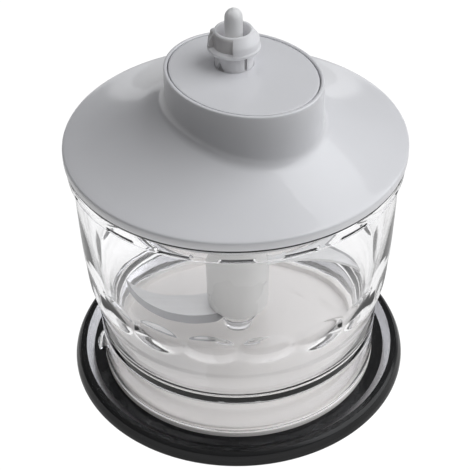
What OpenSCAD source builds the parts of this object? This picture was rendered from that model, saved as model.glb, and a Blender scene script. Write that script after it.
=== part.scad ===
// Chopper attachment of a hand blender: clear bowl on an anti-slip ring, with a geared lid.
// Millimetres. Origin at the bottom centre of the ring, +Z up along the bowl axis, front is -Y.

/* [Node] */
// Which piece to draw

/* [Base] */
// Outer radius of the rubber ring at the table
ring_r = 64; // [58:0.5:70]
// Height of the ring's flat rim
ring_h = 4.9; // [4:0.1:8]
// Radius of the white centre plate
disc_r = 52.3; // [48:0.1:56]
// Height of the plate's seat for the bowl
seat_z = 4.6; // [3.5:0.1:6]

/* [Bowl] */
// Height of the bowl's top edge
bowl_top = 95.2; // [80:0.1:110]
// Height of the inside floor
floor_z = 18.2; // [14:0.1:24]
// Flange radius under the lid
flange_r = 59.2; // [57:0.1:60]
// Number of grip flutes and flange slots
flutes = 18; // [12:1:20]
// Height of the middle of the flutes
flute_z = 49.2; // [46:0.1:52]

/* [Blade] */
// Outer radius of the blade column
hub_r = 11.8; // [9:0.1:14]
// Height of the column's top
hub_top = 90; // [80:0.5:92]
// Height of the underside of the lower blade
low_blade_z = 21.8; // [20:0.1:26]
// Height of the underside of the upper blade
high_blade_z = 45.4; // [36:0.1:60]
// Blade thickness
blade_t = 1.2; // [0.8:0.1:2]

/* [Lid] */
// Radius of the lid's rim
lid_r = 60; // [56:0.5:64]
// Long half axis of the oval gear drum
drum_a = 29.4; // [27:0.1:32]
// Short half axis of the oval gear drum
drum_b = 24.5; // [22:0.1:27]
// Direction of the long axis, degrees
drum_dir = -50.7; // [-60:0.1:-40]
// Height of the drum's top
drum_top = 128.1; // [120:0.1:134]

/* [Drive] */
// Gear module
gear_m = 0.8; // [0.7:0.05:1]
// Teeth on both pinions
pinion_n = 12; // [12:1:14]
// Teeth on both wheels
wheel_n = 30; // [24:1:32]
// Direction from the input shaft to the second shaft, degrees
second_dir = -52; // [-60:1:-40]
// Top of the drive pin
pin_top = 148.4; // [142:0.1:154]
// Radius of the drive pin
pin_r = 3; // [2.5:0.1:4]
// Top of the collar
collar_top = 140.8; // [136:0.1:146]

/* [Hidden] */
$fn = 96;
drum_x = 2.9;
drum_y = -5.9;
second_d = gear_m * (pinion_n + wheel_n) / 2;
second_x = second_d * cos(second_dir);
second_y = second_d * sin(second_dir);
lid_z = bowl_top + 0.9;
cap_z = drum_top - 2;
white = [0.86, 0.86, 0.88];
steel = [0.72, 0.73, 0.75];
black = [0.08, 0.08, 0.09];
natural = [0.9, 0.88, 0.82];
clear = [0.85, 0.9, 0.95, 0.4];
brass = [0.8, 0.65, 0.35];

// ---------- helpers ----------

function inv_deg(a) = tan(a) * 180 / PI - a;
function base_rad(n) = gear_m * n / 2 * cos(20);
function flank(n, r) =
    90 / n - 0.13 / (gear_m * n / 2) * 90 / PI + inv_deg(20)
    - inv_deg(acos(min(1, base_rad(n) / r)));
function polar(r, a) = [r * cos(a), r * sin(a)];
function tooth(n, k, root, tip) = let (
    c = 360 * k / n,
    b = max(base_rad(n), root + 0.05),
    m = (b + tip) / 2)
    [polar(root, c - flank(n, b) - 0.4), polar(b, c - flank(n, b)),
     polar(m, c - flank(n, m)), polar(tip, c - flank(n, tip)),
     polar(tip, c + flank(n, tip)), polar(m, c + flank(n, m)),
     polar(b, c + flank(n, b)), polar(root, c + flank(n, b) + 0.4)];

module gear(n, h, add) {
    root = gear_m * n / 2 - 1.25 * gear_m;
    tip = gear_m * n / 2 + add * gear_m;
    linear_extrude(height = h)
        polygon([for (k = [0 : n - 1]) each tooth(n, k, root, tip)]);
}

module bore(r, z0, z1) {
    translate([0, 0, z0]) cylinder(r = r, h = z1 - z0);
}

module at_drum() {
    translate([drum_x, drum_y, 0]) rotate([0, 0, drum_dir]) children();
}

module at_second() {
    translate([second_x, second_y, 0]) children();
}

module oval(a, b, z0, z1) {
    at_drum() translate([0, 0, z0]) scale([1, b / a, 1]) cylinder(r = a, h = z1 - z0);
}

// four screw posts stand against the drum's wall
module at_posts() {
    at_drum() for (k = [0 : 3])
        translate([24.4 * cos(90 * k), 19.5 * sin(90 * k), 0]) children();
}

// plan of one scythe blade, root at the column, tip swept back
module scythe() {
    polygon([[-4, -6.5], [-9, -12.4], [-17, -13.2], [-25, -11.6], [-33, -7.2], [-40, -0.6],
        [-43.4, 5.4], [-45.4, 12.2], [-40.6, 7.6], [-34, 4], [-26, 2.4], [-18, 2.8],
        [-10, 5], [-4, 6.5]]);
}

// ---------- base ----------

module base_ring() {
    color(black) rotate_extrude() polygon([[disc_r, 0.5], [55, 0], [ring_r - 0.5, 0],
        [ring_r, 0.5], [ring_r - 0.2, 1.7], [ring_r - 1.2, 3.8], [ring_r - 1.9, ring_h - 0.3],
        [ring_r - 2.7, ring_h], [59.4, ring_h], [58.8, ring_h - 0.4], [57.4, 3.4],
        [56.2, 2.9], [53.4, 2.7], [disc_r, 2.7], [disc_r, 2.1], [disc_r + 1.2, 2.1],
        [disc_r + 1.2, 1.3], [disc_r, 1.3]]);
}

module base_disc() {
    color(white) difference() {
        rotate_extrude() polygon([[0, 1], [disc_r, 1], [disc_r, 1.3], [disc_r + 1.2, 1.3],
            [disc_r + 1.2, 2.1], [disc_r, 2.1], [disc_r, seat_z - 0.4], [disc_r - 0.4, seat_z],
            [49.2, seat_z], [49.2, seat_z + 0.4], [48.8, seat_z + 0.8], [48, seat_z + 0.8],
            [47.6, seat_z + 0.4], [47.6, 3], [0, 3]]);
        for (k = [0 : 5]) rotate([0, 0, 60 * k + 30]) translate([42, 0, 0]) bore(3.5, 0, 1.6);
    }
}

module grip_pads() {
    color(black) for (k = [0 : 5]) rotate([0, 0, 60 * k + 30]) translate([42, 0, 0])
        rotate_extrude() polygon([[0, 0], [3.1, 0], [3.5, 0.4], [3.5, 1.6], [0, 1.6]]);
}

// ---------- bowl ----------

module bowl_wall() {
    rotate_extrude() polygon([[49.8, 4.7], [52.2, 4.7], [52.5, 18], [52.8, 31], [54.3, 37],
        [55.4, 43], [56.1, 50], [56.7, 60], [57.2, 75], [57.5, 90.2], [flange_r - 0.3, 90.2],
        [flange_r, 90.6], [flange_r, bowl_top - 0.4], [flange_r - 0.4, bowl_top],
        [55, bowl_top], [54.9, 80], [54.4, 65], [53.5, 52], [52, 42], [50.4, 31],
        [50.05, 25.4], [49.6, 22.8], [48.2, 20.4], [46, 18.95], [43, 18.3], [40, floor_z],
        [0, floor_z], [0, 15.6], [40, 15.6], [43, 15.75], [46, 16.5], [48.2, 17.8],
        [49.3, 18.6], [49.8, 18.3]]);
}

// shallow dished grip, a lens-shaped cut 14 mm tall and one pitch wide
module flute(k) {
    rotate([0, 0, 360 / flutes * (k + 0.5)])
        translate([0, -55.17 - 30.6 * cos(5.3), flute_z - 30.6 * sin(5.3)])
        rotate([0, 90, 0]) translate([0, 0, -15]) cylinder(r = 30.6, h = 30);
}

// clear bayonet lug on the foot
module foot_lug(a) {
    rotate([0, 0, a]) translate([0, -51.6, 12.5]) rotate([90, 0, 0])
        linear_extrude(height = 3.6) polygon([[-2.2, -3.6], [2.2, -3.6], [2.9, -2],
            [2.6, 0], [0, 5], [-2.6, 0], [-2.9, -2]]);
}

module bowl() {
    color(clear) difference() {
        union() {
            bowl_wall();
            translate([0, 0, 9]) cylinder(r1 = 4.6, r2 = 7.2, h = 7);
            bore(6.4, floor_z - 1, floor_z + 0.7);
            foot_lug(-77.5);
            foot_lug(102.5);
        }
        for (k = [0 : flutes - 1]) flute(k);
        for (k = [0 : flutes - 1]) rotate([0, 0, 360 / flutes * k - 95.5])
            translate([0, 0, 90.9]) rotate_extrude(angle = 11)
            translate([flange_r - 0.7, 0]) square([2, 1.1]);
        bore(3, 11, 30);
    }
}

module bowl_pin() {
    color(steel) rotate_extrude() polygon([[0, 11], [3, 11], [3, 56], [2.6, 57.2],
        [1.6, 58], [0, 58.3]]);
}

// ---------- blade ----------

module blade_bush() {
    color(natural) difference() {
        union() {
            bore(7.4, 19.2, 20.2);
            bore(5, 20.2, 60);
        }
        bore(3.05, 18, 58.7);
    }
}

module blade_hub() {
    color(white) difference() {
        rotate_extrude() polygon([[0, 20.5], [8.2, 20.5], [10.4, 21.2], [11.5, 22.6],
            [hub_r, 24.6], [hub_r, 76], [11.4, 78.4], [10.2, 80], [9.2, 80.6], [9, hub_top - 0.6],
            [8.4, hub_top], [0, hub_top]]);
        bore(5.05, 18, 60.4);
        translate([0, 0, 80.6]) cylinder(r = 5.5, h = 12, $fn = 6);
        bore(6.2, hub_top - 1, hub_top + 1);
        blade_root(low_blade_z, 0);
        blade_root(high_blade_z, 180);
    }
}

module blade_root(z, a) {
    rotate([0, 0, a]) translate([0, 0, z]) intersection() {
        linear_extrude(height = blade_t) scythe();
        difference() {
            cylinder(r = 16, h = blade_t);
            translate([0, 0, -1]) cylinder(r = 6.6, h = blade_t + 2);
        }
    }
}

module blade(z, a) {
    rotate([0, 0, a]) translate([0, 0, z]) difference() {
        linear_extrude(height = blade_t) scythe();
        translate([0, 0, -1]) cylinder(r = 6.6, h = blade_t + 2);
    }
}

module lower_blade() {
    color(steel) blade(low_blade_z, 0);
}

module upper_blade() {
    color(steel) blade(high_blade_z, 180);
}

// thin ring that closes the joint between column and drive socket
module hub_ring() {
    color(natural) rotate_extrude() polygon([[9.2, 80.8], [11.2, 80.8], [11.6, 81.4],
        [11.6, 82.6], [11.2, 83.2], [9.2, 83.2]]);
}

// ---------- lid ----------

module lid_dome(d) {
    rotate_extrude() polygon([[0, lid_z - (d > 0 ? 1 : 0)], [lid_r - d, lid_z - (d > 0 ? 1 : 0)],
        [lid_r - d, lid_z + 2.5 - d * 0.4], [lid_r - 0.8 - d, lid_z + 3.4 - d],
        [52, lid_z + 5.8 - d], [44, lid_z + 9 - d], [36, lid_z + 12.8 - d],
        [29, lid_z + 16.6 - d], [22, lid_z + 19.4 - d], [0, lid_z + 20.6 - d]]);
}

module lid_shell() {
    color(white) difference() {
        union() {
            difference() {
                union() {
                    difference() {
                        lid_dome(0);
                        lid_dome(2.2);
                    }
                    oval(drum_a, drum_b, 105.8, drum_top);
                }
                oval(drum_a - 2.2, drum_b - 2.2, 100, drum_top + 1);
            }
            difference() {
                at_posts() bore(3.3, 105.8, 115.8);
                difference() {
                    bore(60, 90, 120);
                    oval(drum_a - 1, drum_b - 1, 89, 121);
                }
            }
        }
        oval(drum_a - 1.3, drum_b - 1.3, cap_z, drum_top + 1);
        at_posts() bore(1.1, 105, 111);
    }
}

module top_cap() {
    color(white) difference() {
        union() {
            oval(drum_a - 1.5, drum_b - 1.5, cap_z, drum_top);
            at_second() bore(3.8, 124, cap_z);
        }
        bore(6.6, cap_z - 1, drum_top + 1);
        at_second() bore(1.5, 123, 126.6);
    }
}

module coupling_collar() {
    color(white) difference() {
        rotate_extrude() polygon([[3.9, 124.1], [10.4, 124.1], [10.4, cap_z], [6.5, cap_z],
            [6.4, 132.5], [7.2, 133], [7.3, 133.5], [8.5, 133.8], [8.9, 134.3],
            [8.9, 135.1], [8.6, 135.4], [8.6, 137.2], [8.3, 137.9], [6.9, 139.8],
            [6.4, collar_top - 0.2], [6.2, collar_top], [5.8, collar_top],
            [5.6, collar_top - 0.2], [5.6, 129.8], [3.9, 129.8]]);
        rotate([0, 0, -166]) translate([0, 0, 135.1]) rotate_extrude(angle = 73)
            translate([6.9, 0]) square([4, 4.4]);
        rotate([0, 0, 36]) translate([-0.55, -8, 127.8]) cube([1.1, 3, 4.5]);
        rotate([0, 0, -48]) translate([0, -5, 128]) rotate([90, 0, 0])
            linear_extrude(height = 4) polygon([[-1.6, 0.2], [1.6, 0.2], [0, 2.8]]);
    }
}

module collar_bush() {
    color(brass) difference() {
        bore(3.9, 124.3, 129.8);
        bore(pin_r - 0.15, 124, 130);
    }
}

// ---------- drive train ----------

module drive_pin() {
    color(white) difference() {
        rotate_extrude() polygon([[0, 123.6], [pin_r - 0.2, 123.6], [pin_r - 0.2, 130.2],
            [pin_r, 130.4], [pin_r, pin_top - 3.2],
            [pin_r - 0.2, pin_top - 2.1], [pin_r - 0.7, pin_top - 1.2], [pin_r - 1.5, pin_top - 0.6],
            [0.8, pin_top - 0.4], [0.6, pin_top - 0.1], [0.4, pin_top], [0, pin_top]]);
        bore(1.5, 123, 138);
    }
}

module input_shaft() {
    color(steel) bore(1.5, 116.2, 138);
}

module input_pinion() {
    color(natural) difference() {
        rotate([0, 0, second_dir]) translate([0, 0, 116.8]) gear(pinion_n, 6.2, 0.95);
        bore(1.5, 116, 124);
    }
}

module second_wheel() {
    color(natural) at_second() difference() {
        rotate([0, 0, second_dir + 180 + 180 / wheel_n]) translate([0, 0, 117.6])
            gear(wheel_n, 4.6, 0.85);
        bore(3, 117, 123);
        translate([0, 0, 121.2]) difference() {
            cylinder(r = 10, h = 2);
            translate([0, 0, -1]) cylinder(r = 4.6, h = 4);
        }
    }
}

module second_pinion() {
    color(steel) at_second() difference() {
        union() {
            rotate([0, 0, second_dir + 180]) translate([0, 0, 108.8]) gear(pinion_n, 8.8, 0.95);
            bore(3, 112, 123.6);
        }
        bore(1.55, 108, 124);
    }
}

module second_axle() {
    color(steel) at_second() bore(1.5, 103.6, 126.6);
}

module output_gear() {
    color(natural) difference() {
        rotate([0, 0, second_dir + 180 / wheel_n]) translate([0, 0, 109.4]) gear(wheel_n, 4.4, 0.85);
        bore(4, 109, 114);
        translate([0, 0, 112.8]) difference() {
            cylinder(r = 10, h = 2);
            translate([0, 0, -1]) cylinder(r = 6, h = 4);
        }
    }
}

module output_shaft() {
    color(white) union() {
        rotate_extrude() polygon([[0, 94.6], [6, 94.6], [6, 109.4], [4, 109.4], [4, 113.8],
            [3.2, 113.8], [3.2, 114.4], [3.6, 114.4], [3.6, 115], [0, 115]]);
        translate([0, 0, 83]) cylinder(r = 5.35, h = 11.6, $fn = 6);
    }
}

module output_bush() {
    color(brass) difference() {
        union() {
            bore(7.5, 99.6, 108.2);
            bore(9, 108.2, 109.1);
        }
        bore(6.05, 99, 110);
    }
}

module output_clip() {
    color(steel) difference() {
        bore(5, 113.8, 114.4);
        bore(3.2, 113, 115);
        rotate([0, 0, 140]) translate([0, -1.1, 113]) cube([6, 2.2, 2]);
    }
}

module gear_plate() {
    color(natural) difference() {
        union() {
            oval(drum_a - 0.2, drum_b - 0.2, 103.4, 105.8);
            bore(10, 100.4, 108.2);
            at_second() bore(4, 101.6, 108.2);
        }
        bore(7.5, 99, 110);
        at_second() bore(1.5, 103.6, 109);
        at_posts() bore(1.3, 102, 107);
    }
}

module plate_screws() {
    color(steel) at_posts() difference() {
        union() {
            translate([0, 0, 101.6]) cylinder(r1 = 2.3, r2 = 2.6, h = 1.8);
            bore(1.1, 103.4, 110.6);
        }
        for (a = [0, 90]) rotate([0, 0, a]) translate([-1.5, -0.3, 101]) cube([3, 0.6, 1.6]);
    }
}

module lid_cover() {
    color(white) difference() {
        rotate_extrude() polygon([[7.3, 96.8], [53, 96.8], [53, 91.6], [53.4, 91.2], [54, 91.2],
            [54.4, 91.6], [54.4, 96.8], [lid_r - 2.3, 96.8], [lid_r - 2.3, 97.2],
            [55, 97.2], [53.6, 98.4], [11, 98.4], [11, 100], [9.4, 100], [9.4, 98.4], [7.3, 98.4]]);
        for (k = [0 : 3]) rotate([0, 0, 90 * k + 45]) translate([30, 0, 0]) bore(2, 96, 97.4);
    }
}

module lid_seal() {
    color(black) rotate_extrude() polygon([[55.4, bowl_top + 0.05], [59.6, bowl_top + 0.05],
        [59.8, bowl_top + 0.3], [59.8, lid_z], [57.7, lid_z], [57.7, 96.8], [55.4, 96.8]]);
}

module shaft_seal() {
    color(black) rotate_extrude() polygon([[6.1, 96.8], [7.3, 96.4], [8.2, 96.4], [8.2, 96.8],
        [7.3, 96.8], [7.3, 98.4], [6.8, 98.4]]);
}

// ---------- draw ----------

base_ring();
base_disc();
grip_pads();
bowl();
bowl_pin();
blade_bush();
blade_hub();
lower_blade();
upper_blade();
hub_ring();
lid_shell();
top_cap();
coupling_collar();
collar_bush();
drive_pin();
input_shaft();
input_pinion();
second_wheel();
second_pinion();
second_axle();
output_gear();
output_shaft();
output_bush();
gear_plate();
plate_screws();
lid_cover();
lid_seal();
shaft_seal();
output_clip();
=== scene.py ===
import math
import bpy
from mathutils import Matrix, Vector


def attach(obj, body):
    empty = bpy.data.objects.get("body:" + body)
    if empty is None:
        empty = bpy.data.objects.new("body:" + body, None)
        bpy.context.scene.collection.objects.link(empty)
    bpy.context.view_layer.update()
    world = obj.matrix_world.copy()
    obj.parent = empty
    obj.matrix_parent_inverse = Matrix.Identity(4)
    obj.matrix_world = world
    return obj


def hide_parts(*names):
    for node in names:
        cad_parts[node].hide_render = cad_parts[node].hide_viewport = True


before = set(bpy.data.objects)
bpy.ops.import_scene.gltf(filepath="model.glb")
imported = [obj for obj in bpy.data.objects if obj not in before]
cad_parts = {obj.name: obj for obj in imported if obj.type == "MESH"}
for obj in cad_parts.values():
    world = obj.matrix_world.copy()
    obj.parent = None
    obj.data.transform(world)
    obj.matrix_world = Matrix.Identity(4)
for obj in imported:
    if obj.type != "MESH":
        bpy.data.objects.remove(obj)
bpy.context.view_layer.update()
MM = 0.001
TAU = 2 * math.pi

# ---------------------------------------------------------------- sizes, mm
# black ring with its inner slope and trough, and the white plate with its rib
RING_R, RING_BORE, RING_H = 64, 52.3, 4.9
SLOPE_IN, SLOPE_OUT, TROUGH_Z = 56.7, 59.6, 2.6
SEAT_Z, RIB_H = 4.6, 0.8
# bowl: open foot, floor, flange, mouth, flutes, flange slots and foot lugs
FOOT_Z, FOOT_IN = 4.7, 49.8
FLOOR_LOW, FLOOR_TOP = 15.6, 18.2
FLANGE_Z, FLANGE_R = 90.2, 59.2
BOWL_TOP, MOUTH_R = 95.2, 55
FLUTES = 18
FLUTE_R, FLUTE_AXIS, FLUTE_Z, FLUTE_SOFT = 30.6, 85.64, 46.37, 0.16
SLOT_DEEP, SLOT_LOW, SLOT_HIGH = 0.7, 90.8, 92.1
LUG_AZ = -77.5
# lid, oval drum leaning off the axis, and the cap let into it
LID_Z, LID_R, LID_THICK = 96.1, 60, 2.4
DRUM_X, DRUM_Y, DRUM_LONG, DRUM_SHORT = 2.9, -5.9, 29.4, 24.5
DRUM_TURN = math.radians(-50.7)
DRUM_WALL, DRUM_TOP, DRUM_LEDGE, DRUM_LOW, DRUM_FILLET = 2.2, 128.1, 126.1, 105.8, 5.0
CAP_GAP, CAP_TOP = 1.72, 127.95
# collar: pocket, slit, notch and ear, with their azimuths in degrees from the front
POCKET_LEFT, POCKET_RIGHT, POCKET_R = -76, -3, 6.9
SLIT_AZ, NOTCH_AZ, EAR_AZ, EAR_Z, CUT_R = 36, -47, -94, 139.7, 5.75
# pin and blades
PIN_R, PIN_TOP = 3.0, 148.4
BLADE_THICK, BEVEL_W = 1.2, 3.4
LOW_BLADE_Z, HIGH_BLADE_Z, HIGH_BLADE_LIFT = 21.8, 45.4, 1.5


# ---------------------------------------------------------------- mesh tools
def make(name, verts, faces, sharp=35):
    """a mesh object from points in mm, with edges over sharp degrees kept sharp."""
    me = bpy.data.meshes.new(name)
    me.from_pydata([(x * MM, y * MM, z * MM) for x, y, z in verts], [], faces)
    me.validate()
    me.update()
    me.shade_smooth()
    me.set_sharp_from_angle(angle=math.radians(sharp))
    ob = bpy.data.objects.new(name, me)
    bpy.context.scene.collection.objects.link(ob)
    return ob


def loft(name, rows, closed, sharp):
    """rows of points, each row a closed ring; closed joins the last row to the first."""
    n = len(rows[0])
    verts = [p for row in rows for p in row]
    faces = []
    last = len(rows) if closed else len(rows) - 1
    for i in range(last):
        a, b = i * n, ((i + 1) % len(rows)) * n
        for j in range(n):
            k = (j + 1) % n
            faces.append((a + j, a + k, b + k, b + j))
    if not closed:
        faces.append(tuple(range(n))[::-1])
        faces.append(tuple((len(rows) - 1) * n + j for j in range(n)))
    return make(name, verts, faces, sharp)


def rounded(points, steps):
    """a closed outline of (r, z, radius) with its corners rounded."""
    out = []
    n = len(points)
    for i, (r, z, rad) in enumerate(points):
        p = Vector((r, z))
        a = Vector(points[i - 1][:2]) - p
        b = Vector(points[(i + 1) % n][:2]) - p
        if rad <= 0 or a.length < 1e-6 or b.length < 1e-6:
            out.append((r, z))
            continue
        half = a.angle(b) / 2
        reach = min(rad / math.tan(half), 0.48 * a.length, 0.48 * b.length)
        rad = reach * math.tan(half)
        mid = a.normalized() + b.normalized()
        if mid.length < 1e-5:
            out.append((r, z))
            continue
        centre = p + mid.normalized() * (rad / math.sin(half))
        s = p + a.normalized() * reach - centre
        e = p + b.normalized() * reach - centre
        turn = math.atan2(s.x * e.y - s.y * e.x, s.dot(e))
        for k in range(steps + 1):
            t = turn * k / steps
            c, d = math.cos(t), math.sin(t)
            out.append((centre.x + s.x * c - s.y * d, centre.y + s.x * d + s.y * c))
    return out


def revolve(name, points, seg):
    """a closed outline of (r, z, radius) turned round the z axis."""
    rows = [[(max(r, 0.01) * math.cos(TAU * j / seg), max(r, 0.01) * math.sin(TAU * j / seg), z)
             for j in range(seg)] for r, z in rounded(points, 5)]
    return loft(name, rows, True, 30)


def spline(points):
    """a smooth function through (x, y) points with rising x."""
    xs = [p[0] for p in points]
    ys = [p[1] for p in points]
    n = len(xs)
    d = [(ys[i + 1] - ys[i]) / (xs[i + 1] - xs[i]) for i in range(n - 1)]
    m = [d[0]] + [0.0 if d[i - 1] * d[i] <= 0 else 2 * d[i - 1] * d[i] / (d[i - 1] + d[i])
                  for i in range(1, n - 1)] + [d[-1]]

    def f(x):
        if x <= xs[0]:
            return ys[0] + (x - xs[0]) * m[0]
        if x >= xs[-1]:
            return ys[-1] + (x - xs[-1]) * m[-1]
        i = max(k for k in range(n - 1) if xs[k] <= x)
        h = xs[i + 1] - xs[i]
        t = (x - xs[i]) / h
        return (ys[i] * (1 + 2 * t) * (1 - t) ** 2 + m[i] * h * t * (1 - t) ** 2
                + ys[i + 1] * t * t * (3 - 2 * t) + m[i + 1] * h * t * t * (t - 1))
    return f


def ramp(x, a, b):
    """rises smoothly from 0 at a to 1 at b."""
    t = min(1, max(0, (x - a) / (b - a)))
    return t * t * (3 - 2 * t)


def lerp(a, b, t):
    return a + (b - a) * t


# ---------------------------------------------------------------- shader tools
def nodes_of(owner):
    owner.use_nodes = True
    owner.node_tree.nodes.clear()
    return owner.node_tree


def feed(nt, socket, value):
    """sets a socket to a number, or links it to another socket."""
    if isinstance(value, (int, float)):
        socket.default_value = value
    else:
        nt.links.new(value, socket)


def maths(nt, kind, *values):
    node = nt.nodes.new("ShaderNodeMath")
    node.operation = kind
    for socket, value in zip(node.inputs, values):
        feed(nt, socket, value)
    return node.outputs[0]


def pick(nt, flag, off, on):
    """on where the flag is 1, off where it is 0."""
    node = nt.nodes.new("ShaderNodeMix")
    for socket, value in zip(node.inputs[0:1] + node.inputs[2:4], (flag, off, on)):
        feed(nt, socket, value)
    return node.outputs[0]


def remap(nt, value, source, result, kind="LINEAR"):
    """takes a value from the source span to the result span."""
    node = nt.nodes.new("ShaderNodeMapRange")
    node.interpolation_type = kind
    for span, (low, high) in (("From", source), ("To", result)):
        node.inputs[span + " Min"].default_value = low
        node.inputs[span + " Max"].default_value = high
    nt.links.new(value, node.inputs["Value"])
    return node.outputs[0]


def noise(nt, where, scale, detail):
    node = nt.nodes.new("ShaderNodeTexNoise")
    node.inputs["Scale"].default_value = scale
    node.inputs["Detail"].default_value = detail
    nt.links.new(where, node.inputs["Vector"])
    return node.outputs["Fac"]


def bump_normal(nt, height, strength, distance, base=None):
    node = nt.nodes.new("ShaderNodeBump")
    node.inputs["Strength"].default_value = strength
    node.inputs["Distance"].default_value = distance
    nt.links.new(height, node.inputs["Height"])
    if base:
        nt.links.new(base, node.inputs["Normal"])
    return node.outputs[0]


def bevel_normal(nt, radius):
    node = nt.nodes.new("ShaderNodeBevel")
    node.samples = 4
    node.inputs["Radius"].default_value = radius
    return node.outputs[0]


def mottled(nt, pattern, base, vary):
    """the base colour, a little darker and lighter with the pattern."""
    node = nt.nodes.new("ShaderNodeValToRGB")
    for stop, place, gain in zip(node.color_ramp.elements, (0.3, 0.7), (1 - vary, 1 + vary)):
        stop.position = place
        stop.color = (*(min(1, c * gain) for c in base), 1)
    nt.links.new(pattern, node.inputs[0])
    return node.outputs[0]


def worn(nt, colour, amount):
    """the colour, paler along sharp edges."""
    geo = nt.nodes.new("ShaderNodeNewGeometry")
    dot = nt.nodes.new("ShaderNodeVectorMath")
    dot.operation = "DOT_PRODUCT"
    nt.links.new(bevel_normal(nt, 0.6 * MM), dot.inputs[0])
    nt.links.new(geo.outputs["Normal"], dot.inputs[1])
    sharp = remap(nt, dot.outputs["Value"], (0.995, 0.9), (0, 1))
    mix = nt.nodes.new("ShaderNodeMix")
    mix.data_type = "RGBA"
    nt.links.new(maths(nt, "MULTIPLY", sharp, amount), mix.inputs["Factor"])
    nt.links.new(colour, mix.inputs["A"])
    mix.inputs["B"].default_value = (1, 1, 1, 1)
    return mix.outputs["Result"]


# ---------------------------------------------------------------- materials
def material(name, base, rough, metal=0.0, vary=0.03, grain=900, bump=0.02, rough_var=0.06,
             stretch=(1, 1, 1), edge=0.0, coat=0.0, ior=1.5, sss=0.0, bevel=0.0, reach=4.0,
             grazing=1.0):
    """solid plastic, rubber or metal with a mottled colour and a fine grain.

    edge pales sharp edges, bevel and reach are in mm, grazing tints a glancing view.
    """
    mat = bpy.data.materials.new(name)
    nt = nodes_of(mat)
    out = nt.nodes.new("ShaderNodeOutputMaterial")
    shader = nt.nodes.new("ShaderNodeBsdfPrincipled")
    nt.links.new(shader.outputs[0], out.inputs[0])
    shader.inputs["Metallic"].default_value = metal
    shader.inputs["IOR"].default_value = ior
    shader.inputs["Coat Weight"].default_value = coat
    shader.inputs["Coat Roughness"].default_value = 0.05
    shader.inputs["Specular Tint"].default_value = (grazing, grazing, grazing, 1)
    if sss:
        shader.inputs["Subsurface Weight"].default_value = sss
        shader.inputs["Subsurface Radius"].default_value = (reach * MM, reach * MM, reach * MM)
        shader.inputs["Subsurface Scale"].default_value = 1.0
    coords = nt.nodes.new("ShaderNodeTexCoord")
    mapping = nt.nodes.new("ShaderNodeMapping")
    mapping.inputs["Scale"].default_value = stretch
    nt.links.new(coords.outputs["Object"], mapping.inputs["Vector"])
    broad = noise(nt, mapping.outputs[0], 40, 4)
    fine = noise(nt, mapping.outputs[0], grain, 3)
    colour = mottled(nt, broad, base, vary)
    if edge:
        colour = worn(nt, colour, edge)
    nt.links.new(colour, shader.inputs["Base Color"])
    gloss = remap(nt, broad, (0, 1), (max(0.02, rough - rough_var), rough + rough_var))
    nt.links.new(gloss, shader.inputs["Roughness"])
    base_normal = bevel_normal(nt, bevel * MM) if bevel else None
    nt.links.new(bump_normal(nt, fine, bump, 0.2 * MM, base_normal), shader.inputs["Normal"])
    return mat


def clear_material(name, tint):
    """clear plastic that bends light, and lets lamps through for what is inside it."""
    mat = bpy.data.materials.new(name)
    nt = nodes_of(mat)
    out = nt.nodes.new("ShaderNodeOutputMaterial")
    shader = nt.nodes.new("ShaderNodeBsdfPrincipled")
    shader.inputs["Base Color"].default_value = (*tint, 1)
    shader.inputs["Roughness"].default_value = 0.0
    shader.inputs["Transmission Weight"].default_value = 1.0
    shader.inputs["IOR"].default_value = 1.5
    coords = nt.nodes.new("ShaderNodeTexCoord")
    wave = noise(nt, coords.outputs["Object"], 60, 1)
    nt.links.new(bump_normal(nt, wave, 0.03, MM), shader.inputs["Normal"])
    through = nt.nodes.new("ShaderNodeBsdfTransparent")
    through.inputs["Color"].default_value = (0.985, 0.985, 0.985, 1)
    path = nt.nodes.new("ShaderNodeLightPath")
    either = maths(nt, "MAXIMUM", path.outputs["Is Shadow Ray"], path.outputs["Is Diffuse Ray"])
    mix = nt.nodes.new("ShaderNodeMixShader")
    nt.links.new(either, mix.inputs[0])
    nt.links.new(shader.outputs[0], mix.inputs[1])
    nt.links.new(through.outputs[0], mix.inputs[2])
    nt.links.new(mix.outputs[0], out.inputs[0])
    return mat


WHITE = material("lid_white", (0.80, 0.80, 0.82), 0.3, vary=0.012, grain=2500, bump=0.03,
                 rough_var=0.04, edge=0.1, coat=0.42)
COLLAR = material("collar_white", (0.86, 0.855, 0.875), 0.36, vary=0.02, grain=2200, bump=0.05,
                  edge=0.12, bevel=0.12, sss=0.6)
# darker grey for the collar's pocket and ear: painted shade
COLLAR_PAINTED_SHADE = material("collar_painted_shade", (0.76, 0.745, 0.74), 0.5, vary=0.06, grain=1800, bump=0.15)
# darker grey for the collar's slit and notch: painted shade in the cuts
SLIT_PAINTED_SHADE = material("collar_slit_painted_shade", (0.62, 0.61, 0.62), 0.5, vary=0.08, grain=1800, bump=0.15)
PIN = material("pin_white", (0.97, 0.965, 0.97), 0.42, vary=0.02, grain=1800, bump=0.08,
               rough_var=0.08, sss=1.0, reach=9.0)
HUB = material("hub_white", (0.66, 0.655, 0.645), 0.28, vary=0.015, grain=2000, bump=0.03,
               edge=0.1, bevel=0.3)
PLATE = material("base_white", (0.95, 0.915, 0.885), 0.45, vary=0.02, grain=1500, bump=0.06)
NATURAL = material("natural_acetal", (0.80, 0.77, 0.69), 0.4, vary=0.03, grain=1800, bump=0.05,
                   bevel=0.1)
RUBBER = material("ring_black", (0.010, 0.010, 0.0105), 0.2, vary=0.2, grain=1600, bump=0.06,
                  rough_var=0.05, ior=1.36)
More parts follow.
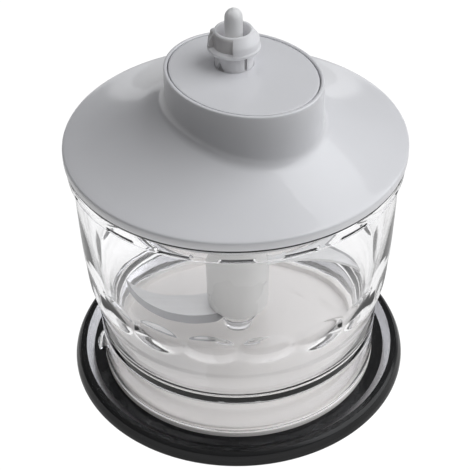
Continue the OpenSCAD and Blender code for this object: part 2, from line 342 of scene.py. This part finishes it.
# pale metal for the ring's inner slope: a painted reflection on the black rubber
RING_PAINTED_SHEEN = material("ring_painted_sheen", (0.62, 0.62, 0.64), 0.22, metal=1, vary=0.05, grain=1600,
                 bump=0.03, rough_var=0.04, grazing=0.0)
SEAL = material("seal_black", (0.018, 0.018, 0.02), 0.5, vary=0.2, grain=1800, bump=0.1)
STEEL = material("turned_steel", (0.58, 0.58, 0.6), 0.25, metal=1, vary=0.05, grain=500,
                 bump=0.05, stretch=(1, 1, 14), bevel=0.1)
BLADE = material("satin_steel", (0.84, 0.84, 0.84), 0.46, metal=0.4, vary=0.05, grain=420,
                 bump=0.05, stretch=(1, 9, 1))
# darker copy of the blade steel for its bevel: painted shade
BEVEL_PAINTED_SHADE = material("bevel_painted_shade", (0.30, 0.30, 0.31), 0.3, metal=1, vary=0.08, grain=600,
                 bump=0.12, stretch=(1, 6, 1))
BRASS = material("sintered_brass", (0.6, 0.43, 0.2), 0.35, metal=1, vary=0.1, grain=1500,
                 bump=0.1)
CLEAR = clear_material("bowl_clear", (0.985, 0.985, 0.99))
# near-black for the recessed faces of the flange slots: painted shade
SLOT_PAINTED_SHADE = material("slot_painted_shade", (0.10, 0.10, 0.105), 0.4, vary=0.3, grain=1500, bump=0.05)


def dress(ob, *mats, slot):
    """gives a piece its materials, the first one everywhere; slot is not used."""
    ob.data.materials.clear()
    for mat in mats:
        ob.data.materials.append(mat)


def paint(ob, index, test):
    """gives a material index to the faces whose centre (radius, azimuth, z) passes the test."""
    for poly in ob.data.polygons:
        c = poly.center / MM
        azimuth = math.degrees(math.atan2(c.x, -c.y))
        if test(math.hypot(c.x, c.y), azimuth, c.z):
            poly.material_index = index


# ---------------------------------------------------------------- base
ring = revolve("ring_skin", [
    (RING_BORE, 0.5, 0), (55, 0, 0.2), (RING_R - 0.02, 0, 0.1), (RING_R, 0.5, 0.2),
    (RING_R - 0.3, 1.9, 1.2), (RING_R - 1.3, 4.0, 1.2), (RING_R - 2.4, RING_H, 0.7),
    (SLOPE_OUT, RING_H, 0.15), (SLOPE_IN, TROUGH_Z, 0.25), (RING_BORE, TROUGH_Z, 0)], seg=256)
dress(ring, RUBBER, RING_PAINTED_SHEEN, slot="ring_rubber")
# only the steep part of the inner slope gets the pale metal: a painted reflection on the black
# rubber
for poly in ring.data.polygons:
    r = math.hypot(poly.center.x, poly.center.y) / MM
    if SLOPE_IN - 0.1 < r < SLOPE_OUT + 0.1 and 0.1 < poly.normal.z < 0.87:
        poly.material_index = 1
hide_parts("base_ring")
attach(ring, "base")

disc_r = RING_BORE - 0.05
disc = revolve("disc_skin", [
    (0, 1.0, 0), (disc_r, 1.0, 0.2), (disc_r, SEAT_Z, 0.35), (49.3, SEAT_Z, 0.15),
    (49.2, SEAT_Z + RIB_H, 0.35), (47.7, SEAT_Z + RIB_H, 0.35), (47.5, 3.0, 0.3),
    (0, 3.0, 0)], seg=256)
dress(disc, PLATE, slot="base_plastic")
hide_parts("base_disc")
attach(disc, "base")

# ---------------------------------------------------------------- bowl
OUTER = spline([(FOOT_Z, 52.2), (18, 52.45), (31, 52.9), (37, 54.2), (43, 55.5), (50, 56.2),
                (60, 56.75), (75, 57.2), (FLANGE_Z, 57.5)])
INNER = spline([(25.4, 50.05), (31, 50.4), (42, 52), (52, 53.5), (65, 54.4), (80, 54.9),
                (BOWL_TOP, MOUTH_R)])
CORNER_IN = spline([(40.0, FLOOR_TOP), (43.0, 18.35), (46.0, 19.0), (48.2, 20.4), (49.6, 22.8),
                    (50.05, 25.4)])
CORNER_OUT = spline([(40.0, FLOOR_LOW), (43.0, 15.75), (46.0, 16.5), (48.2, 17.8),
                     (49.3, 18.6), (49.75, 18.4)])


def bowl_outer(a, z):
    """outside of the wall, with a shallow dish cut by a cylinder at each flute."""
    r = OUTER(z)
    dz = z - FLUTE_Z
    if abs(dz) < 13:
        step = TAU / FLUTES
        off = (a + math.pi / 2) % step - step / 2
        cut = (FLUTE_AXIS - math.sqrt(FLUTE_R ** 2 - dz ** 2)) / math.cos(off)
        blend = max(0, FLUTE_SOFT - abs(r - cut)) / FLUTE_SOFT
        r = min(r, cut) - blend * blend * FLUTE_SOFT / 4
    return r


def slot_depth(a, z):
    """depth of the flange's slots, one above each place where two flutes meet."""
    step = TAU / FLUTES
    off = abs(((a + math.pi / 2 + step / 2) % step) - step / 2)
    along = 1 - ramp(off, math.radians(5.2), math.radians(5.65))
    return SLOT_DEEP * along * (
        ramp(z, SLOT_LOW, SLOT_LOW + 0.18) * (1 - ramp(z, SLOT_HIGH - 0.18, SLOT_HIGH)))


def bowl_mesh():
    """one closed skin: up the outside, down the inside, across the floor and back."""
    seg = FLUTES * 36
    rows = []

    def ring_row(f, z):
        """a row at height z whose radius at angle a is f(a)."""
        rows.append([(f(TAU * j / seg) * math.cos(TAU * j / seg),
                      f(TAU * j / seg) * math.sin(TAU * j / seg), z) for j in range(seg)])

    def round_rows(points):
        for r, z in points:
            ring_row(lambda a, r=r: r, z)

    foot = rounded([(FOOT_IN, FOOT_Z, 0.4), (52.2, FOOT_Z, 0.5), (52.3, 10, 0)], 5)
    round_rows(foot[:-1])
    wall = [6, 8, 12, 16, 20, 24, 28] + list(range(30, 40)) + [40 + 0.4 * k for k in range(46)]
    for z in wall + [59, 61, 65, 70, 76, 82, 88, 89.6]:
        ring_row(lambda a, z=z: bowl_outer(a, z), z)
    flange = rounded([(57.5, 89.6, 0), (57.5, FLANGE_Z, 0.3), (FLANGE_R - 0.3, FLANGE_Z, 0.3),
                      (FLANGE_R, 90.6, 0)], 4)
    round_rows(flange[1:])
    for k in range(8):
        z = 90.7 + 0.2 * k + (0.05 if k else 0)
        ring_row(lambda a, z=z: FLANGE_R - slot_depth(a, z), z)
    brim = rounded([(FLANGE_R, 93, 0), (FLANGE_R, BOWL_TOP, 0.5), (MOUTH_R, BOWL_TOP, 0.6),
                    (MOUTH_R - 0.05, 90, 0)], 5)
    round_rows(brim[1:])
    for z in list(range(84, 59, -6)) + list(range(56, 27, -4)):
        ring_row(lambda a, z=z: INNER(z), z)
    corner = (50.05, 49.98, 49.86, 49.6, 49.2, 48.7, 48.1, 47.4, 46.6, 45.8, 45, 44, 43, 42, 41)
    round_rows([(r, CORNER_IN(r)) for r in corner])
    round_rows([(r, FLOOR_TOP) for r in (40, 30, 12)])
    boss = rounded([(6.4, FLOOR_TOP, 0.2), (6.4, FLOOR_TOP + 0.7, 0.2), (0, FLOOR_TOP + 0.7, 0)],
                   3)
    round_rows(boss[:-1] + [(0.02, FLOOR_TOP + 0.7), (0.02, 9.0)])
    round_rows(rounded([(4.6, 9, 0.5), (7.2, FLOOR_LOW, 1.5), (30, FLOOR_LOW, 0)], 4))
    under = (40, 41, 42, 43, 44, 45, 45.8, 46.6, 47.4, 48.1, 48.7, 49.1, 49.35, 49.6)
    round_rows([(r, CORNER_OUT(r)) for r in under])
    round_rows([(FOOT_IN, z) for z in (18.2, 17, 15, 12, 9)])
    return loft("bowl_skin", rows, True, 40)


bowl = bowl_mesh()
dress(bowl, CLEAR, SLOT_PAINTED_SHADE, slot="clear_plastic")
# painted shade: the recessed faces of the flange slots get the near-black
paint(bowl, 1, lambda r, az, z: 90.6 < z < 92.3 and FLANGE_R - 1 < r < FLANGE_R - 0.45)
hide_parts("bowl")
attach(bowl, "bowl")


def lug(name, az):
    """clear drop-shaped lug that stands out most near its rounded foot."""
    shape = []
    for k in range(48):
        t = TAU * k / 48
        y = 0.5 + 0.5 * math.cos(t)
        shape.append((3.3 * math.sin(t) * (1.05 - 0.62 * y), y))
    a = math.radians(az) - math.pi / 2
    outward = Vector((math.cos(a), math.sin(a), 0))
    sideways = Vector((-math.sin(a), math.cos(a), 0))
    rows = []
    for out, shrink in ((0, 1.0), (0.55, 1.0), (0.8, 0.96), (0.93, 0.88), (1, 0.72)):
        row = []
        for x, y in shape:
            y = 0.42 + (y - 0.42) * shrink
            stand = 0.35 + 2.9 * ramp(y, -0.3, 0.25) * (1 - y) ** 0.8
            row.append(tuple(outward * (52.35 + out * stand) + sideways * (x * shrink)
                             + Vector((0, 0, 8.9 + 9.0 * y))))
        rows.append(row)
    ob = loft(name, rows, False, 50)
    dress(ob, CLEAR, slot="clear_plastic")
    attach(ob, "bowl")


lug("foot_lug_left", LUG_AZ)
lug("foot_lug_back", LUG_AZ + 180)


# ---------------------------------------------------------------- lid
DOME = spline([(0, LID_Z + 20.6), (22, LID_Z + 19.4), (29, LID_Z + 16.6), (36, LID_Z + 12.8),
               (44, LID_Z + 9.0), (52, LID_Z + 5.8), (59.2, LID_Z + 3.4)])


def to_oval(px, py, ang, a, b):
    """distance along ang from a point inside to an oval round the drum's centre."""
    x, y = px - DRUM_X, py - DRUM_Y
    ct, st = math.cos(DRUM_TURN), math.sin(DRUM_TURN)
    u0, v0 = x * ct + y * st, -x * st + y * ct
    du, dv = math.cos(ang - DRUM_TURN), math.sin(ang - DRUM_TURN)
    qa = (du / a) ** 2 + (dv / b) ** 2
    qb = u0 * du / a ** 2 + v0 * dv / b ** 2
    qc = (u0 / a) ** 2 + (v0 / b) ** 2 - 1
    return (-qb + math.sqrt(qb * qb - qa * qc)) / qa


def lid_column(a):
    """the lid's section at angle a round the drum: (distance from the drum's axis, z)."""
    centre = Vector((DRUM_X, DRUM_Y))
    e = Vector((math.cos(a), math.sin(a)))
    wall = to_oval(DRUM_X, DRUM_Y, a, DRUM_LONG, DRUM_SHORT)
    inside = wall - DRUM_WALL

    def reach(radius):
        """distance from the drum's axis to a circle round the bowl's axis."""
        k = centre.dot(e)
        return -k + math.sqrt(k * k + radius * radius - centre.length_squared)

    def height(d):
        return DOME((centre + e * d).length)

    col = [(inside, DRUM_LEDGE), (wall - 1.3, DRUM_LEDGE), (wall - 1.3, 127.85),
           (wall - 1.12, 128.04), (wall - 0.9, DRUM_TOP), (wall - 0.55, DRUM_TOP),
           (wall - 0.3, 128.02), (wall - 0.12, 127.85), (wall - 0.04, 127.6),
           (wall - 0.02, 126.5), (wall, 123.0)]
    mid = wall + DRUM_FILLET
    slope = math.atan(-(height(mid + 0.5) - height(mid - 0.5)))
    mid_z = height(mid) + DRUM_FILLET / math.cos(slope)
    for k in range(13):
        t = lerp(math.pi, 1.5 * math.pi - slope, k / 12)
        col.append((mid + DRUM_FILLET * math.cos(t), mid_z + DRUM_FILLET * math.sin(t)))
    start, start_z = col[-1]
    step = start_z - height(start)
    for k in range(1, 17):
        d = lerp(start, reach(59.2), k / 16)
        col.append((d, height(d) + step * (1 - ramp(k / 16, 0, 0.4))))
    for radius, up in ((59.5, 3.27), (59.78, 3.05), (59.94, 2.78), (LID_R, 2.45), (LID_R, 0.3),
                       (59.92, 0.08), (59.7, 0), (57.8, 0), (57.8, 1.4)):
        col.append((reach(radius), LID_Z + up))
    for k in range(9):
        d = lerp(reach(56.8), inside + 2.4, k / 8)
        col.append((d, max(LID_Z + 1.45, height(d) - LID_THICK)))
    return col + [(wall, DRUM_LOW), (inside, DRUM_LOW)]


def swept(name, column, seg, x, y):
    """closed skin from a function that gives the section at each angle round (x, y)."""
    cols = []
    for j in range(seg):
        a = TAU * j / seg
        cols.append([(x + math.cos(a) * d, y + math.sin(a) * d, z) for d, z in column(a)])
    rows = [[col[i] for col in cols] for i in range(len(cols[0]))]
    return loft(name, rows, True, 38)


lid = swept("lid_skin", lid_column, 288, DRUM_X, DRUM_Y)
dress(lid, WHITE, slot="lid_plastic")
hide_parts("lid_shell")
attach(lid, "lid")


def cap_column(a):
    """the cap's section at angle a round the collar's axis."""
    edge = to_oval(0, 0, a, DRUM_LONG - CAP_GAP, DRUM_SHORT - CAP_GAP)
    return [(6.6, 126.15), (6.6, 127.7), (6.7, 127.9), (6.95, CAP_TOP), (12, CAP_TOP),
            (lerp(12, edge, 0.5), CAP_TOP), (edge - 0.9, CAP_TOP), (edge - 0.35, 127.93),
            (edge - 0.12, 127.85), (edge, 127.65), (edge, 126.3), (edge - 0.1, 126.15)]


cap = swept("cap_skin", cap_column, 288, 0, 0)
dress(cap, WHITE, slot="lid_plastic")
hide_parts("top_cap")
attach(cap, "lid")

# ---------------------------------------------------------------- collar and pin
# outside of the collar from below: (radius, z); the pocket cuts the rows in POCKET_Z
COLLAR_OUT = [(6.5, 124.1), (6.5, 127.0), (6.47, 128.0), (6.46, 128.2)]
COLLAR_OUT += [(6.45, 128.2 + 0.25 * k) for k in range(1, 17)]
COLLAR_OUT += [(6.42, 132.4), (6.55, 132.6), (7.1, 132.9), (7.25, 133.1), (7.3, 133.5),
               (8.3, 133.7), (8.7, 133.95), (8.88, 134.3), (8.9, 134.7), (8.86, 134.95),
               (8.78, 135.08), (8.7, 135.12), (8.62, 135.3), (8.6, 135.6), (8.6, 136.4),
               (8.6, 137.1), (8.5, 137.5), (8.28, 137.95), (7.75, 138.65), (7.5, 139.0),
               (7.2, 139.4), (6.92, 139.78), (6.72, 140.1), (6.6, 140.3), (6.42, 140.6),
               (6.3, 140.74), (6.15, 140.8)]
COLLAR_IN = [(5.95, 140.8), (5.8, 140.76), (5.68, 140.66), (5.6, 140.45), (5.6, 135),
             (5.6, 130.3), (5.4, 129.9), (5.1, 129.8), (3.9, 129.8), (3.9, 124.1)]
POCKET_Z, SLIT_Z = (135.1, 140.0), (128.1, 132.3)
SLIT_HALF, EAR_HALF, EAR_HALF_H = 4.95, 10, 1.25
NOTCH_HALF, NOTCH_Z, NOTCH_H = 14, 128.1, 2.7


def collar_r(az, r, z):
    """outside radius at az degrees from the front, positive to the right."""
    if POCKET_Z[0] < z < POCKET_Z[1] and POCKET_LEFT <= az <= POCKET_RIGHT:
        r = POCKET_R
    if abs(az - SLIT_AZ) < SLIT_HALF and SLIT_Z[0] < z < SLIT_Z[1]:
        r = CUT_R
    if z > 127 and abs(az - NOTCH_AZ) < NOTCH_HALF * (1 - (z - NOTCH_Z) / NOTCH_H):
        r = CUT_R
    ear = 1 - ((az - EAR_AZ) / EAR_HALF) ** 2 - ((z - EAR_Z) / EAR_HALF_H) ** 2
    return max(r, 6.3 + 1.5 * math.sqrt(ear)) if ear > 0 else r


def collar_azimuths():
    """every second degree, finer at the notch, with close pairs at each sharp side."""
    pairs = {POCKET_LEFT - 0.3, POCKET_LEFT + 0.01, POCKET_RIGHT - 0.01, POCKET_RIGHT + 0.3,
             SLIT_AZ - 5.1, SLIT_AZ - 4.94, SLIT_AZ + 4.94, SLIT_AZ + 5.1}
    steps = {2 * k - 180 for k in range(180)} | {NOTCH_AZ + k for k in range(-15, 16)}
    steps |= {EAR_AZ - 9.6, EAR_AZ + 9.6}
    sides = (POCKET_LEFT, POCKET_RIGHT, SLIT_AZ - 5, SLIT_AZ + 5)
    return sorted(pairs | {a for a in steps if not any(0 < abs(a - b) < 0.45 for b in sides)})


def collar_mesh():
    azs = collar_azimuths()
    rows = [[(collar_r(az, r, z), az, z) for az in azs] for r, z in COLLAR_OUT]
    rows += [[(r, az, z) for az in azs] for r, z in COLLAR_IN]
    rows = [[(r * math.sin(math.radians(az)), -r * math.cos(math.radians(az)), z)
             for r, az, z in row] for row in rows]
    return loft("collar_skin", rows, True, 32)


collar = collar_mesh()
dress(collar, COLLAR, COLLAR_PAINTED_SHADE, SLIT_PAINTED_SHADE, slot="collar_plastic")
# painted shade: the ear's faces and the pocket's faces get the darker grey
paint(collar, 1, lambda r, az, z: abs(az - EAR_AZ) < 11 and 138.2 < z < 140.4 and r > 6.9)
paint(collar, 1, lambda r, az, z: (POCKET_LEFT - 1 < az < POCKET_RIGHT + 1
                                   and 135.2 <= z < 140.2 and r < 8.4))
# painted shade: the slit and notch faces get the darker grey
paint(collar, 2, lambda r, az, z: 5.62 < r < 6.2 and 127.5 < z < 132.4)
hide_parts("coupling_collar")
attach(collar, "lid")


def pin_mesh():
    """domed pin with four faint flats round its upper part."""
    seg = 96
    profile = [(2.8, 123.6), (2.8, 130.2), (PIN_R, 130.4), (PIN_R, 136), (PIN_R, 144.8),
               (2.97, 145.4), (2.86, 146.0), (2.66, 146.6), (2.36, 147.1), (1.95, 147.5),
               (1.5, 147.78), (1.0, 147.96), (0.72, 148.05), (0.55, 148.2), (0.35, 148.34),
               (0.02, PIN_TOP)]
    rows = []
    for r, z in profile:
        row = []
        for j in range(seg):
            a = TAU * j / seg
            flat = 0.0 if z < 130.5 else 0.05 * abs(math.cos(2 * (a + 0.5))) ** 6
            row.append((r * (1 - flat) * math.cos(a), r * (1 - flat) * math.sin(a), z))
        rows.append(row)
    return loft("pin_skin", rows, False, 32)


pin = pin_mesh()
dress(pin, PIN, slot="collar_plastic")
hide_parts("drive_pin")
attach(pin, "input")


# ---------------------------------------------------------------- blades
BLADE_EDGE = [(-4, -7.5), (-9, -12.2), (-17, -13.1), (-25, -11.6), (-33, -7.3), (-39.6, -0.9),
              (-43.4, 5.4), (-45.3, 12.1)]
BLADE_BACK = [(-4, 6.3), (-10, 5), (-18, 2.9), (-26, 2.5), (-34, 4.1), (-40.4, 7.6),
              (-43.4, 10.0), (-45.2, 12.2)]


def path(points):
    """a smooth curve through the points, from 0 at the first to 1 at the last."""
    last = len(points) - 1
    fx = spline([(i / last, p[0]) for i, p in enumerate(points)])
    fy = spline([(i / last, p[1]) for i, p in enumerate(points)])
    return lambda t: (fx(t), fy(t))


def blade_mesh(name, z0, turn, lift):
    """scythe blade, flat below, with a ground bevel along its edge; lift raises the tip."""
    edge, back = path(BLADE_EDGE), path(BLADE_BACK)
    along, across, flat = 64, 12, 7
    half = BLADE_THICK / 2
    ct, st = math.cos(turn), math.sin(turn)
    verts, faces, ground = [], [], []
    for i in range(along + 1):
        t = i / along
        (ex, ey), (bx, by) = edge(t), back(t)
        width = math.hypot(ex - bx, ey - by) + 1e-6
        bevel = min(BEVEL_W, 0.6 * width) / width
        rise = lift * ramp(t, 0.35, 1)
        for side in (1, -1):
            for k in range(across + 1):
                u = lerp(0, 1 - bevel, k / flat) if k <= flat else lerp(
                    1 - bevel, 1, (k - flat) / (across - flat))
                x, y = lerp(bx, ex, u), lerp(by, ey, u)
                up = half if side < 0 else lerp(0.1 - half, half, min(1, (1 - u) / bevel))
                verts.append((x * ct - y * st, x * st + y * ct,
                              z0 + half + side * up + rise * (0.4 + 0.6 * u)))
    under, row = across + 1, 2 * (across + 1)
    for i in range(along):
        a, b = i * row, (i + 1) * row
        for k in range(across):
            c, d = a + under + k, b + under + k
            faces += [(a + k, b + k, b + k + 1, a + k + 1), (c + 1, d + 1, d, c)]
            ground += [k >= flat, False]
        faces += [(a, a + under, b + under, b),
                  (a + across, b + across, b + under + across, a + under + across)]
        ground += [False, True]
    top, bottom = list(range(under)), list(range(row - 1, across, -1))
    last = along * row
    faces += [tuple(top + bottom), tuple(last + v for v in bottom + top)]
    ground += [False, False]
    ob = make(name, verts, faces, 12)
    dress(ob, BLADE, BEVEL_PAINTED_SHADE, slot="blade_steel")
    # painted shade: the bevel faces get the darker steel
    for poly, is_ground in zip(ob.data.polygons, ground):
        poly.material_index = int(is_ground)
    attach(ob, "blade")
    return ob


low = blade_mesh("lower_blade_skin", LOW_BLADE_Z, 0.0, 0.0)
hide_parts("lower_blade")
high = blade_mesh("upper_blade_skin", HIGH_BLADE_Z, math.pi, HIGH_BLADE_LIFT)
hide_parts("upper_blade")

# ---------------------------------------------------------------- CAD pieces kept
KEPT = {
    "grip_pads": SEAL, "bowl_pin": STEEL, "blade_bush": NATURAL, "blade_hub": HUB,
    "hub_ring": NATURAL, "collar_bush": BRASS, "input_shaft": STEEL, "input_pinion": NATURAL,
    "second_wheel": NATURAL, "second_pinion": STEEL, "second_axle": STEEL,
    "output_gear": NATURAL, "output_shaft": HUB, "output_bush": BRASS, "gear_plate": NATURAL,
    "plate_screws": STEEL, "lid_cover": WHITE, "lid_seal": SEAL, "shaft_seal": SEAL,
    "output_clip": STEEL,
}
for node, mat in KEPT.items():
    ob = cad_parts[node]
    ob.data.materials.clear()
    ob.data.materials.append(mat)

# ---------------------------------------------------------------- stage, light, camera
# half the floor's side in mm; where its throw starts and ends fading, in m
FLOOR_HALF = 3000
NEAR, FAR = 0.14, 0.25
# what is mirrored on the inner faces of clear plastic
INNER_MIRROR = 0.85


def seen(nt, plain, mirrored, spread_light):
    """plain to the eye and through clear plastic, mirrored in gloss, spread_light on matt faces."""
    path = nt.nodes.new("ShaderNodeLightPath")
    eye = maths(nt, "MAXIMUM", path.outputs["Is Camera Ray"], path.outputs["Is Transmission Ray"])
    inside = maths(nt, "MINIMUM", path.outputs["Transmission Depth"], 1.0)
    gloss = pick(nt, inside, mirrored, INNER_MIRROR)
    return pick(nt, eye, pick(nt, path.outputs["Is Glossy Ray"], spread_light, gloss), plain)


def floor_material():
    """white to the eye; what it throws up fades with the distance from the middle."""
    mat = bpy.data.materials.new("pale_floor")
    nt = nodes_of(mat)
    out = nt.nodes.new("ShaderNodeOutputMaterial")
    glow = nt.nodes.new("ShaderNodeEmission")
    glow.inputs["Color"].default_value = (1, 1, 1, 1)
    coords = nt.nodes.new("ShaderNodeTexCoord")
    away = nt.nodes.new("ShaderNodeVectorMath")
    away.operation = "LENGTH"
    nt.links.new(coords.outputs["Object"], away.inputs[0])
    thrown = remap(nt, away.outputs["Value"], (NEAR, FAR), (2.0, 0.0), "SMOOTHSTEP")
    nt.links.new(seen(nt, 1.05, 0.6, thrown), glow.inputs["Strength"])
    nt.links.new(glow.outputs[0], out.inputs[0])
    return mat


def studio_world():
    """dim sky, brighter overhead; gloss also sees a bright backdrop low all round."""
    world = bpy.data.worlds.new("studio")
    nt = nodes_of(world)
    out = nt.nodes.new("ShaderNodeOutputWorld")
    glow = nt.nodes.new("ShaderNodeBackground")
    glow.inputs["Color"].default_value = (0.98, 0.985, 1, 1)
    coords = nt.nodes.new("ShaderNodeTexCoord")
    axes = nt.nodes.new("ShaderNodeSeparateXYZ")
    nt.links.new(coords.outputs["Generated"], axes.inputs[0])
    high = maths(nt, "MAXIMUM", axes.outputs["Z"], 0.0)
    sky = maths(nt, "MULTIPLY_ADD", maths(nt, "MULTIPLY", high, high), 0.56, 0.03)
    backdrop = remap(nt, axes.outputs["Z"], (0.06, 0.13), (1.25, 0.0), "SMOOTHSTEP")
    mirrored = maths(nt, "MAXIMUM", sky, backdrop)
    nt.links.new(seen(nt, 1.0, mirrored, sky), glow.inputs["Strength"])
    nt.links.new(glow.outputs[0], out.inputs[0])
    return world


def key_light(where, target, side, watts, colour):
    light = bpy.data.lights.new("key", "AREA")
    light.shape = "RECTANGLE"
    light.size = light.size_y = side
    light.energy = watts
    light.color = colour
    ob = bpy.data.objects.new("key", light)
    ob.location = where
    ob.rotation_euler = (Vector(target) - Vector(where)).to_track_quat("-Z", "Y").to_euler()
    ob.visible_camera = False
    bpy.context.scene.collection.objects.link(ob)


def camera(where, lens, pitch, yaw, roll):
    """camera that looks down by pitch, right by yaw and leans by roll."""
    cam = bpy.data.cameras.new("camera")
    cam.lens = lens
    cam.sensor_width = 36
    cam.clip_start = 0.01
    ahead = Vector((math.sin(yaw) * math.cos(pitch), math.cos(yaw) * math.cos(pitch),
                    -math.sin(pitch)))
    level = ahead.cross(Vector((0, 0, 1))).normalized()
    above = level.cross(ahead)
    right = level * math.cos(roll) + above * math.sin(roll)
    up = above * math.cos(roll) - level * math.sin(roll)
    ob = bpy.data.objects.new("camera", cam)
    turn = Matrix((right, up, -ahead)).transposed().to_4x4()
    ob.matrix_world = Matrix.Translation(where) @ turn
    bpy.context.scene.collection.objects.link(ob)
    return ob


floor = make("floor", [(x * FLOOR_HALF, y * FLOOR_HALF, 0)
                       for x, y in ((-1, -1), (1, -1), (1, 1), (-1, 1))], [(0, 1, 2, 3)])
floor.data.materials.append(floor_material())
scene = bpy.context.scene
scene.world = studio_world()
key_light((0.7, -0.02, 0.7), target=(0, 0, 0.1), side=1.1, watts=7.9, colour=(0.965, 0.98, 1.0))
scene.camera = camera((0, -0.35724, 0.3425), lens=95.13, pitch=0.6785,
                      yaw=math.radians(-0.112), roll=math.radians(-0.963))
scene.view_settings.view_transform = "Standard"
